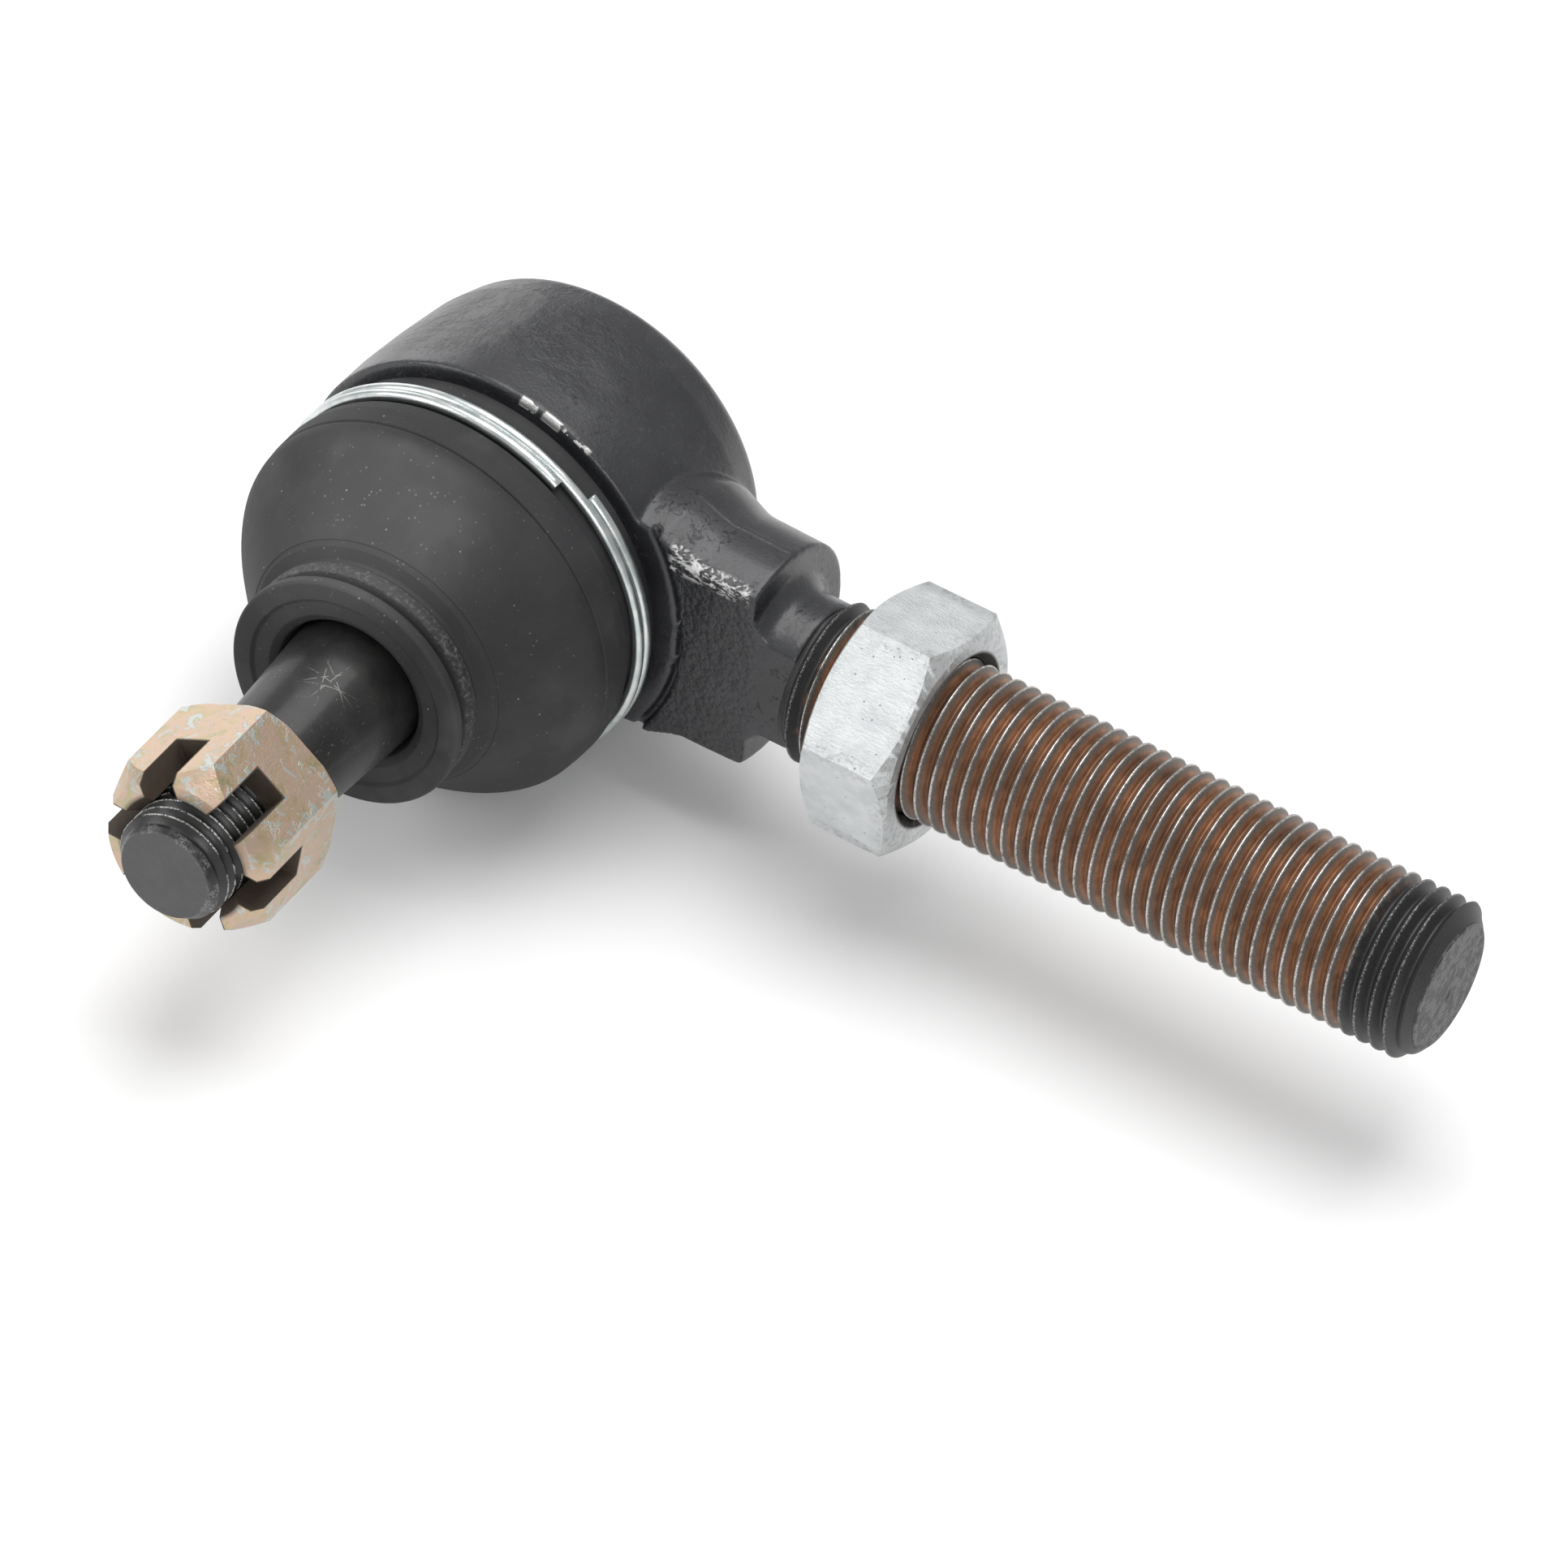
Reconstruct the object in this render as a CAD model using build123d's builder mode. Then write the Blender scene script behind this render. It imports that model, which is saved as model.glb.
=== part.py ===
from build123d import *
import math
import os

os.makedirs("parts", exist_ok=True)

# Tie-rod ball joint. Origin at the ball centre, +X along the threaded shank,
# the ball stud towards -Y, +Z up. All sizes in millimetres.
# "h" is a height measured from the ball centre towards the stud side (-Y).
# "s" is the same measured along the stud's own axis, which leans a little at rest.

# --- clearances ---
BALL_GAP = 0.05         # ball in its seats
SEAT_GAP = 0.1          # seats in the head
THREAD_GAP = 0.05       # nuts on their threads, drawn at the major diameter
COLLAR_GAP = 0.05       # boot collar on the stud
MOUTH_GAP = 0.3         # stud neck in the head's mouth at full swing
PIECE_GAP = 0.3         # between pieces that move past each other
WIRE_GAP = 0.03         # wire on the boot's groove

# --- ball and bearing ---
BALL_R = 16.0
BALL_FLAT_R = 6.97
SEAT_WALL = 3.05
SEAT_SPLIT = 0.4
SEAT_GRIP = 33.0        # degrees past the equator that the front seat reaches
SEAT_RIM = 1.665
SEAT_TIP = 1.1
SEAT_CONE_H = 3.5
REAR_HOLE_R = 6.9
REAR_SEAT_BACK = 0.7
SPRING_IN_R = 9.0
SPRING_EDGE = 2.0
SPRING_T = 1.0
SPRING_RISE = 1.2
SWING_CONE = 25.0       # degrees off the bearing's axis, all round

# --- forged head ---
HEAD_FRONT = 5.5
HEAD_SHOULDER = 2.55
NOSE_WALL = 4.0
NOSE_LENGTH = 5.1
MOUTH_LIP = 0.6
NOSE_GROOVE_UP = 3.3
NOSE_GROOVE_W = 3.4
GROOVE_DEPTH = 1.2
PLATE_STEP = 1.1
PLATE_T = 1.8
DISH_R = 7.6
DISH_DEPTH = 1.0
LIP_T = 1.3
LIP_OVERLAP = 1.9

# --- boss, neck and shank, M20 x 2 ---
SHANK_R = 10.0
THREAD_LENGTH = 85.2
SHANK_CHAMFER = 2.34
NECK_LENGTH = 5.7
NECK_STEP = 0.8
BOSS_LENGTH = 11.55
BOSS_WALL = 4.2
BOSS_FLARE = 2.0
BOSS_FLAT = 6.0
SPOT_WALL = 1.15
SPOT_GROOVE_W = 0.8
SPOT_GROOVE_T = 0.9

# --- stud, M14 thread on a 1:8 cone ---
LEAN_X = 3.0
LEAN_Z = 2.36
STUD_THREAD_R = 7.0
TAPER_STEP = 0.4625
TAPER_RATE = 1 / 16
TAPER_BARE = 18.7
LAND_LENGTH = 3.2
STUD_NECK_STEP = 0.95
STUD_PROUD = 3.7
STUD_CHAMFER = 1.24
PIN_HOLE_R = 2.0
PIN_HOLE_UP = 3.7

# --- nuts ---
JAM_WALL = 3.5
JAM_UP = 6.0
JAM_T = 11.9
JAM_TURN = 44.67
CASTLE_WALL = 3.5
CASTLE_T = 15.7
CASTLE_TURN = 24.72
SLOT_W = 4.5
SLOT_DEPTH = 8.1

# --- dust boot and its wire ---
BOOT_T = 1.8
BEAD_UP = 0.5
BEAD_T = 1.0
SKIRT_GROOVE_UP = 1.75
SKIRT_GROOVE_W = 4.55
SKIRT_GROOVE_T = 0.85
CREASE_UP = 2.0
DOME_RISE = 12.8
DOME_TOP_WALL = 7.65
COLLAR_LENGTH = 7.0
BOOT_LIP_WALL = 6.2
WIRE_R = 0.7
WIRE_PITCH = 2 * WIRE_R + 0.02
WIRE_TURNS = 1.977
WIRE_START = 50.5       # degrees from +X towards +Z

# --- sizes that follow: bearing and head ---
ball_hole_r = BALL_R + BALL_GAP
seat_r = ball_hole_r + SEAT_WALL
cavity_r = seat_r + SEAT_GAP
front_cut = ball_hole_r * math.sin(math.radians(SEAT_GRIP))
front_r = ball_hole_r * math.cos(math.radians(SEAT_GRIP))
front_seat_end = front_cut + SEAT_RIM
rear_cut = math.sqrt(ball_hole_r**2 - REAR_HOLE_R**2)
rear_seat_end = -(rear_cut + REAR_SEAT_BACK)
plate_in = rear_seat_end - SPRING_T - SPRING_RISE
head_back = plate_in - PLATE_T - LIP_T
plate_r = cavity_r + PLATE_STEP
back_hole_r = plate_r - LIP_OVERLAP
nose_r = cavity_r + NOSE_WALL
nose_end = front_seat_end + NOSE_LENGTH
nose_groove = (HEAD_FRONT + NOSE_GROOVE_UP, HEAD_FRONT + NOSE_GROOVE_UP + NOSE_GROOVE_W)
nose_groove_r = nose_r - GROOVE_DEPTH
head_r = nose_r + HEAD_SHOULDER
spot_r = head_r + SPOT_WALL

# --- sizes that follow: shank and its nut ---
boss_end = head_r + BOSS_LENGTH
boss_r = SHANK_R + BOSS_WALL
neck_r = SHANK_R - NECK_STEP
thread_start = boss_end + NECK_LENGTH
shank_end = thread_start + THREAD_LENGTH
shank_tip_r = SHANK_R - SHANK_CHAMFER
jam_x = (thread_start + JAM_UP, thread_start + JAM_UP + JAM_T)
jam_af = 2 * (SHANK_R + JAM_WALL)
jam_bore_r = SHANK_R + THREAD_GAP
relief_x = jam_x[1] - 0.2

# --- sizes that follow: boot and wire ---
bead_h = HEAD_FRONT + BEAD_UP
bead_r = nose_r + BEAD_T
skirt_groove = (bead_h + SKIRT_GROOVE_UP, bead_h + SKIRT_GROOVE_UP + SKIRT_GROOVE_W)
skirt_groove_r = nose_r + SKIRT_GROOVE_T
crease_r = nose_r + BOOT_T
crease_h = nose_end + CREASE_UP
collar_s = crease_h + DOME_RISE
lip_s = collar_s + COLLAR_LENGTH
wire_path_r = skirt_groove_r + WIRE_R + WIRE_GAP
wire_h = (skirt_groove[0] + skirt_groove[1] - WIRE_PITCH * WIRE_TURNS) / 2

# --- sizes that follow: stud and its nut ---
land = (collar_s - 1.3, collar_s - 1.3 + LAND_LENGTH)
taper_end = lip_s + TAPER_BARE
taper_r = STUD_THREAD_R + TAPER_STEP
land_r = taper_r + (taper_end - land[1]) * TAPER_RATE
stud_neck_r = land_r - STUD_NECK_STEP
collar_bore_r = land_r + COLLAR_GAP
dome_top_r = land_r + DOME_TOP_WALL
boot_lip_r = land_r + BOOT_LIP_WALL
castle_s = (taper_end + PIECE_GAP, taper_end + PIECE_GAP + CASTLE_T)
castle_af = 2 * (STUD_THREAD_R + CASTLE_WALL)
castle_bore_r = STUD_THREAD_R + THREAD_GAP
slot_floor = castle_s[1] - SLOT_DEPTH
stud_end = castle_s[1] + STUD_PROUD
stud_tip_r = STUD_THREAD_R - STUD_CHAMFER
pin_hole_s = slot_floor + PIN_HOLE_UP
pin_hole_angle = CASTLE_TURN + 90


def mouth_r(h):
    """Radius of the head's mouth that clears the stud's neck at full swing."""
    cone = math.radians(SWING_CONE)
    return h * math.tan(cone) + stud_neck_r / math.cos(cone) + MOUTH_GAP


lip_mouth_r = mouth_r(front_seat_end + MOUTH_LIP)
seat_tip_r = lip_mouth_r + SEAT_TIP

# --- the stud's own frame ---
ax = math.radians(LEAN_X)
az = math.radians(LEAN_Z)
stud_dir = Vector(math.sin(ax), -math.cos(ax) * math.cos(az), math.cos(ax) * math.sin(az))
stud_u = (Vector(1, 0, 0) - stud_dir * stud_dir.X).normalized()
stud_face = Plane(origin=(0, 0, 0), x_dir=stud_u, z_dir=stud_dir)
stud_side = Plane(origin=(0, 0, 0), x_dir=stud_u, z_dir=stud_u.cross(stud_dir))
stud_axis = Axis((0, 0, 0), stud_dir)
head_face = Plane.XZ
shank_face = Plane.YZ



# --- forged housing: head, boss, neck and threaded shank in one piece ---
with BuildPart() as housing:
    root_x = cavity_r / 2
    # neck and shank, turned about X
    with BuildSketch(Plane.XY):
        with BuildLine():
            Polyline(
                (root_x, 0), (root_x, neck_r), (thread_start, neck_r),
                (thread_start + NECK_STEP, SHANK_R), (relief_x - 0.25, SHANK_R),
                (relief_x - 0.25, SHANK_R - 0.25), (relief_x + 0.25, SHANK_R - 0.25),
                (relief_x + 0.25, SHANK_R), (shank_end - 1.7, SHANK_R),
                (shank_end, shank_tip_r), (shank_end, 0), close=True,
            )
        make_face()
    revolve(axis=Axis.X)
    # boss, flared towards the head and rounded down to the neck
    with BuildSketch(Plane.XY):
        with BuildLine():
            flare_r = boss_r + BOSS_FLARE
            flare_x = head_r - 1.25
            Line((root_x, 0), (root_x, flare_r))
            Line((root_x, flare_r), (flare_x, flare_r))
            RadiusArc((flare_x, flare_r), (flare_x + 6.5, boss_r), 8.0)
            Line((flare_x + 6.5, boss_r), (boss_end - 0.8, boss_r))
            Line((boss_end - 0.8, boss_r), (boss_end, boss_r - 0.8))
            Line((boss_end, boss_r - 0.8), (boss_end, neck_r + 3.0))
            RadiusArc((boss_end, neck_r + 3.0), (boss_end + 3.0, neck_r), 3.0)
            Line((boss_end + 3.0, neck_r), (boss_end + 3.0, 0))
            Line((boss_end + 3.0, 0), (root_x, 0))
        make_face()
    revolve(axis=Axis.X)
    # flat on the stud side of the boss, running out up the neck
    with BuildSketch(Plane.XY):
        with BuildLine():
            Polyline(
                (root_x, -BOSS_FLAT), (boss_end - 2.5, -BOSS_FLAT), (boss_end + 3.5, -neck_r - 0.2),
                (boss_end + 3.5, -flare_r - 4), (root_x, -flare_r - 4), close=True,
            )
        make_face()
    extrude(amount=30, both=True, mode=Mode.SUBTRACT)
    # round head with its nose, turned about Y
    with BuildSketch(Plane.XY):
        with BuildLine():
            back_r = head_r - 7.15
            Line((0, -head_back), (back_r, -head_back))
            ThreePointArc(
                (back_r, -head_back),
                (head_r - 2.85, -head_back - 1.9),
                (head_r - 1.25, -head_back - 5.6),
            )
            Polyline(
                (head_r - 1.25, -head_back - 5.6), (head_r, 0), (head_r, -HEAD_FRONT + 0.6),
                (head_r - 0.6, -HEAD_FRONT),
                (nose_r, -HEAD_FRONT), (nose_r, -nose_groove[0]), (nose_groove_r, -nose_groove[0]),
                (nose_groove_r, -nose_groove[1]), (nose_r, -nose_groove[1]), (nose_r, -nose_end + 1.2),
                (nose_r - 1.2, -nose_end), (0, -nose_end), (0, -head_back),
            )
        make_face()
    revolve(axis=Axis.Y)
    # turned face round the nose, with a groove where it meets the flat
    with BuildSketch(Plane.XY):
        with BuildLine():
            Polyline(
                (nose_r, -HEAD_FRONT), (spot_r, -HEAD_FRONT), (spot_r, -HEAD_FRONT + SPOT_GROOVE_T),
                (spot_r + SPOT_GROOVE_W, -HEAD_FRONT + SPOT_GROOVE_T),
                (spot_r + SPOT_GROOVE_W, -BOSS_FLAT - 1),
                (nose_r, -BOSS_FLAT - 1), close=True,
            )
        make_face()
    revolve(axis=Axis.Y, mode=Mode.SUBTRACT)
    # bearing cavity, plate recess behind the rolled lip, and the flared mouth
    with BuildSketch(Plane.XY):
        with BuildLine():
            Polyline(
                (0, -head_back + 1), (back_hole_r, -head_back + 1), (back_hole_r, -plate_in + PLATE_T),
                (plate_r, -plate_in + PLATE_T), (plate_r, -plate_in), (cavity_r, -plate_in),
                (cavity_r, -SEAT_CONE_H), (seat_tip_r + SEAT_GAP, -front_seat_end),
                (lip_mouth_r, -front_seat_end),
                (lip_mouth_r, -front_seat_end - MOUTH_LIP), (mouth_r(nose_end), -nose_end),
                (mouth_r(nose_end), -nose_end - 1),
                (0, -nose_end - 1), close=True,
            )
        make_face()
    revolve(axis=Axis.Y, mode=Mode.SUBTRACT)
housing.part.label = "housing"
export_step(housing.part, "parts/housing.step")


# --- bearing seats, disc spring and closing plate inside the head ---
split_r = math.sqrt(ball_hole_r**2 - SEAT_SPLIT**2)
with BuildPart() as front_seat:
    with BuildSketch(Plane.XY):
        with BuildLine():
            mid = math.radians(17)
            ThreePointArc(
                (split_r, -SEAT_SPLIT),
                (ball_hole_r * math.cos(mid), -ball_hole_r * math.sin(mid)),
                (front_r, -front_cut),
            )
            Polyline(
                (front_r, -front_cut), (lip_mouth_r, -front_seat_end), (seat_tip_r, -front_seat_end),
                (seat_r, -SEAT_CONE_H), (seat_r, -SEAT_SPLIT), (split_r, -SEAT_SPLIT),
            )
        make_face()
    revolve(axis=Axis.Y)
front_seat.part.label = "front_bearing_seat"
export_step(front_seat.part, "parts/front_bearing_seat.step")

with BuildPart() as rear_seat:
    with BuildSketch(Plane.XY):
        with BuildLine():
            mid = math.radians(32)
            ThreePointArc(
                (split_r, SEAT_SPLIT),
                (ball_hole_r * math.cos(mid), ball_hole_r * math.sin(mid)),
                (REAR_HOLE_R, rear_cut),
            )
            Polyline(
                (REAR_HOLE_R, rear_cut), (REAR_HOLE_R, -rear_seat_end), (seat_r - 1.0, -rear_seat_end),
                (seat_r, -rear_seat_end - 1.0), (seat_r, SEAT_SPLIT), (split_r, SEAT_SPLIT),
            )
        make_face()
    revolve(axis=Axis.Y)
rear_seat.part.label = "rear_bearing_seat"
export_step(rear_seat.part, "parts/rear_bearing_seat.step")

with BuildPart() as spring:
    spring_out_r = cavity_r - SPRING_EDGE
    with BuildSketch(Plane.XY):
        with BuildLine():
            Polyline(
                (SPRING_IN_R, -rear_seat_end), (spring_out_r, -plate_in - SPRING_T),
                (spring_out_r, -plate_in),
                (SPRING_IN_R, -rear_seat_end + SPRING_T), close=True,
            )
        make_face()
    revolve(axis=Axis.Y)
spring.part.label = "disc_spring"
export_step(spring.part, "parts/disc_spring.step")

with BuildPart() as plate:
    with BuildSketch(Plane.XY):
        with BuildLine():
            Polyline(
                (0, -plate_in - DISH_DEPTH), (DISH_R - 1.0, -plate_in - DISH_DEPTH), (DISH_R, -plate_in),
                (plate_r, -plate_in), (plate_r, -plate_in + PLATE_T), (DISH_R + 0.6, -plate_in + PLATE_T),
                (DISH_R - 0.4, -plate_in + PLATE_T - DISH_DEPTH), (0, -plate_in + PLATE_T - DISH_DEPTH),
                close=True,
            )
        make_face()
    revolve(axis=Axis.Y)
plate.part.label = "closing_plate"
export_step(plate.part, "parts/closing_plate.step")


# --- ball stud: ball, neck, cone and thread in one piece ---
with BuildPart() as stud:
    neck_s = math.sqrt(BALL_R**2 - stud_neck_r**2)
    flat_s = -math.sqrt(BALL_R**2 - BALL_FLAT_R**2)
    with BuildSketch(stud_side):
        with BuildLine():
            Line((0, flat_s), (BALL_FLAT_R, flat_s))
            ThreePointArc((BALL_FLAT_R, flat_s), (BALL_R, 0), (stud_neck_r, neck_s))
            Polyline(
                (stud_neck_r, neck_s), (stud_neck_r, land[0] - 4.0), (land_r, land[0]), (land_r, land[1]),
                (taper_r, taper_end), (STUD_THREAD_R, taper_end), (STUD_THREAD_R, stud_end - 1.7),
                (stud_tip_r, stud_end), (0, stud_end), (0, flat_s),
            )
        make_face()
    revolve(axis=stud_axis)
    # cross hole for the split pin, in line with one pair of nut slots
    hole_a = math.radians(pin_hole_angle)
    hole_dir = stud_face.x_dir * math.cos(hole_a) + stud_face.y_dir * math.sin(hole_a)
    hole_at = stud_dir * pin_hole_s
    with BuildSketch(Plane(origin=hole_at, x_dir=stud_dir, z_dir=hole_dir)):
        Circle(PIN_HOLE_R)
    extrude(amount=12, both=True, mode=Mode.SUBTRACT)
stud.part.label = "ball_stud"
export_step(stud.part, "parts/ball_stud.step")


# --- castle nut on the stud ---
with BuildPart() as castle:
    s0 = castle_s[0]
    s1 = castle_s[1]
    flat_r = castle_af / 2
    with BuildSketch(stud_face.offset(s0)):
        RegularPolygon(radius=castle_af / 2, side_count=6, major_radius=False, rotation=CASTLE_TURN)
    extrude(amount=s1 - s0)
    # turned outline: face chamfer at the base, long chamfer at the crown
    with BuildSketch(stud_side):
        with BuildLine():
            Polyline(
                (0, s0), (flat_r + 0.2, s0), (flat_r + 2.0, s0 + 1.6), (flat_r + 2.0, s1 - 4.2),
                (flat_r - 0.4, s1), (0, s1), close=True,
            )
        make_face()
    revolve(axis=stud_axis, mode=Mode.INTERSECT)
    # bore with a lead at both ends
    with BuildSketch(stud_side):
        with BuildLine():
            Polyline(
                (0, s0 - 1), (castle_bore_r + 1.85, s0 - 1), (castle_bore_r, s0 + 0.9),
                (castle_bore_r, s1 - 1.2), (castle_bore_r + 2.25, s1 + 1), (0, s1 + 1), close=True,
            )
        make_face()
    revolve(axis=stud_axis, mode=Mode.SUBTRACT)
    # six slots as three cuts straight across
    for k in range(3):
        with BuildSketch(stud_face.offset(slot_floor)):
            Rectangle(3 * castle_af, SLOT_W, rotation=CASTLE_TURN + 30 + 60 * k)
        extrude(amount=s1 - slot_floor + 1, mode=Mode.SUBTRACT)
castle.part.label = "castle_nut"
export_step(castle.part, "parts/castle_nut.step")


# --- jam nut on the shank ---
with BuildPart() as jam:
    x0 = jam_x[0]
    x1 = jam_x[1]
    face_r = jam_af / 2 - 0.4
    lead_r = jam_bore_r + 2.15
    with BuildSketch(shank_face.offset(x0)):
        RegularPolygon(radius=jam_af / 2, side_count=6, major_radius=False, rotation=JAM_TURN)
    extrude(amount=x1 - x0)
    with BuildSketch(Plane.XY):
        with BuildLine():
            Polyline(
                (x0, 0), (x0, face_r), (x0 + 1.2, face_r + 2.7), (x1 - 1.2, face_r + 2.7),
                (x1, face_r), (x1, 0), close=True,
            )
        make_face()
    revolve(axis=Axis.X, mode=Mode.INTERSECT)
    with BuildSketch(Plane.XY):
        with BuildLine():
            Polyline(
                (x0 - 1, 0), (x0 - 1, lead_r), (x0 + 1.1, jam_bore_r), (x1 - 1.1, jam_bore_r),
                (x1 + 1, lead_r), (x1 + 1, 0), close=True,
            )
        make_face()
    revolve(axis=Axis.X, mode=Mode.SUBTRACT)
jam.part.label = "jam_nut"
export_step(jam.part, "parts/jam_nut.step")


# --- dust boot: skirt clamped on the nose, dome, and the collar on the stud ---
with BuildPart() as skirt:
    with BuildSketch(Plane.XY):
        with BuildLine():
            Polyline(
                (nose_r, -bead_h), (bead_r - 0.4, -bead_h), (bead_r, -bead_h - 0.6),
                (bead_r, -skirt_groove[0] + 0.3), (skirt_groove_r, -skirt_groove[0]),
                (skirt_groove_r, -skirt_groove[1]), (crease_r, -skirt_groove[1] - 0.4),
                (crease_r + 0.2, -skirt_groove[1] - 2.0), (crease_r, -crease_h),
                (crease_r - BOOT_T, -crease_h), (nose_r, -nose_end), (nose_r, -nose_groove[1]),
                (nose_groove_r, -nose_groove[1]), (nose_groove_r, -nose_groove[0]),
                (nose_r, -nose_groove[0]), close=True,
            )
        make_face()
    revolve(axis=Axis.Y)
skirt.part.label = "boot_skirt"
export_step(skirt.part, "parts/boot_skirt.step")

# sections of the dome, from the crease up to the collar: share of the height, share of the
# way in from the crease's radius to the top's; the lean grows with height
DOME_SHAPE = (
    (0.0, 0.0), (0.148, 0.036), (0.311, 0.179), (0.492, 0.393), (0.672, 0.619), (0.852, 0.833), (1.0, 1.0),
)
dome_h0 = crease_h + PIECE_GAP
dome_h1 = collar_s - PIECE_GAP
dome_sections = []
for up, inward in DOME_SHAPE:
    lean_dir = (Vector(0, -1, 0) * (1 - up) + stud_dir * up).normalized()
    side = (Vector(1, 0, 0) - lean_dir * lean_dir.X).normalized()
    h = dome_h0 + (dome_h1 - dome_h0) * up
    r = crease_r + (dome_top_r - crease_r) * inward
    dome_sections.append((Plane(origin=lean_dir * h, x_dir=side, z_dir=lean_dir), r))
with BuildPart() as dome:
    for pl, r in dome_sections:
        with BuildSketch(pl):
            Circle(r)
    loft()
    for pl, r in dome_sections:
        with BuildSketch(pl):
            Circle(r - BOOT_T)
    loft(mode=Mode.SUBTRACT)
dome.part.label = "boot_dome"
export_step(dome.part, "parts/boot_dome.step")

with BuildPart() as collar:
    ring_r = boot_lip_r - 0.25
    with BuildSketch(stud_side):
        with BuildLine():
            Polyline(
                (collar_bore_r, collar_s), (dome_top_r - 0.3, collar_s), (dome_top_r - 1.0, collar_s + 0.8),
                (ring_r - 0.6, collar_s + 1.4), (ring_r - 0.1, collar_s + 2.2), (ring_r, lip_s - 3.0),
                (ring_r - 1.3, lip_s - 2.5), (ring_r - 1.3, lip_s - 1.9), (boot_lip_r - 0.2, lip_s - 1.5),
                (boot_lip_r, lip_s - 1.1), (boot_lip_r, lip_s - 0.3), (boot_lip_r - 0.3, lip_s),
                (collar_bore_r + 0.4, lip_s), (collar_bore_r, lip_s - 0.5), close=True,
            )
        make_face()
    revolve(axis=stud_axis)
collar.part.label = "boot_collar"
export_step(collar.part, "parts/boot_collar.step")

# --- wire ring wound round the skirt, its ends overlapping ---
with BuildPart() as wire:
    with BuildLine() as wire_path:
        Helix(
            pitch=WIRE_PITCH, height=WIRE_PITCH * WIRE_TURNS, radius=wire_path_r,
            center=(0, -wire_h, 0), direction=(0, -1, 0), lefthand=True,
        )
    wire_line = wire_path.line.rotate(Axis.Y, -WIRE_START - 90)
    with BuildSketch(Plane(origin=wire_line @ 0, z_dir=wire_line % 0)):
        Circle(WIRE_R)
    sweep(path=wire_line, is_frenet=True)
wire.part.label = "retaining_wire"
export_step(wire.part, "parts/retaining_wire.step")
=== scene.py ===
import math

import bpy
from mathutils import Matrix, Vector


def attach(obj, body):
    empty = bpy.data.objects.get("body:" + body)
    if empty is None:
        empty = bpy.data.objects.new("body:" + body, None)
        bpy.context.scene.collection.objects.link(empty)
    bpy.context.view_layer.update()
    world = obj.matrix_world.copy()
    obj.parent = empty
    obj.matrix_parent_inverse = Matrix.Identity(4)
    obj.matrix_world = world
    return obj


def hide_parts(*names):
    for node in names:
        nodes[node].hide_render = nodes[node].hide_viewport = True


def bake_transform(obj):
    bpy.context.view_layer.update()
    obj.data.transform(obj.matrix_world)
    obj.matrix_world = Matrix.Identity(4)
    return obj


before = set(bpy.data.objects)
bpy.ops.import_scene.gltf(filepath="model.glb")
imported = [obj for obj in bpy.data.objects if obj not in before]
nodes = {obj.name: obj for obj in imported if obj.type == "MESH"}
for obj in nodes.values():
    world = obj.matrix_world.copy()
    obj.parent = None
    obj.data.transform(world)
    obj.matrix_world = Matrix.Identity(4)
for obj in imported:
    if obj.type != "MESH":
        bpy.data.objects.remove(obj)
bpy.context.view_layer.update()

# Every shape is drawn in millimetres in its own upright frame, axis along Z, then stood in place.
MM = 0.001
LEAN_X = math.radians(3.0)
LEAN_Z = math.radians(2.36)
stud_dir = Vector((math.sin(LEAN_X), -math.cos(LEAN_X) * math.cos(LEAN_Z), math.cos(LEAN_X) * math.sin(LEAN_Z)))
stud_u = (Vector((1, 0, 0)) - stud_dir * stud_dir.x).normalized()


def stood(x_dir, z_dir):
    """A frame with its Z along z_dir and its X along x_dir."""
    x_dir = Vector(x_dir)
    z_dir = Vector(z_dir)
    return Matrix((x_dir, z_dir.cross(x_dir), z_dir)).transposed().to_4x4()


HEAD = stood((1, 0, 0), (0, -1, 0))
STUD = stood(stud_u, stud_dir)
SHANK = stood((0, 1, 0), (1, 0, 0))


# --- bench: the few moves that every piece is made with ---
def put_down():
    if bpy.context.object and bpy.context.object.mode != "OBJECT":
        bpy.ops.object.mode_set(mode="OBJECT")
    bpy.ops.object.select_all(action="DESELECT")


def take_up(piece):
    put_down()
    piece.select_set(True)
    bpy.context.view_layer.objects.active = piece


def softened(outline, steps=4):
    """An outline of (radius, height) or (radius, height, rounding) corners, with the roundings worked out."""
    out = []
    last = len(outline) - 1
    for i, corner in enumerate(outline):
        here = Vector(corner[:2])
        if len(corner) < 3 or i in (0, last):
            out.append(here)
            continue
        back = Vector(outline[i - 1][:2]) - here
        ahead = Vector(outline[i + 1][:2]) - here
        half = back.angle(ahead) / 2
        run = min(corner[2] / math.tan(half), back.length * 0.49, ahead.length * 0.49)
        radius = run * math.tan(half)
        middle = here + (back.normalized() + ahead.normalized()).normalized() * (radius / math.sin(half))
        a = here + back.normalized() * run - middle
        b = here + ahead.normalized() * run - middle
        turn = a.angle_signed(b)
        for k in range(steps + 1):
            out.append(middle + Matrix.Rotation(-turn * k / steps, 2) @ a)
    return out


def drawn(name, outline):
    """An open line of edges in the XZ plane: one vertex pushed along from corner to corner."""
    put_down()
    bpy.ops.mesh.primitive_plane_add(size=1)
    piece = bpy.context.object
    piece.name = name
    bpy.ops.object.mode_set(mode="EDIT")
    bpy.ops.mesh.select_mode(type="VERT")
    bpy.ops.mesh.select_all(action="SELECT")
    bpy.ops.mesh.merge(type="CENTER")
    here = Vector((outline[0][0], 0, outline[0][1]))
    bpy.ops.transform.translate(value=here)
    for r, h in outline[1:]:
        there = Vector((r, 0, h))
        bpy.ops.mesh.extrude_vertices_move(TRANSFORM_OT_translate={"value": there - here})
        here = there
    return piece


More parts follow.
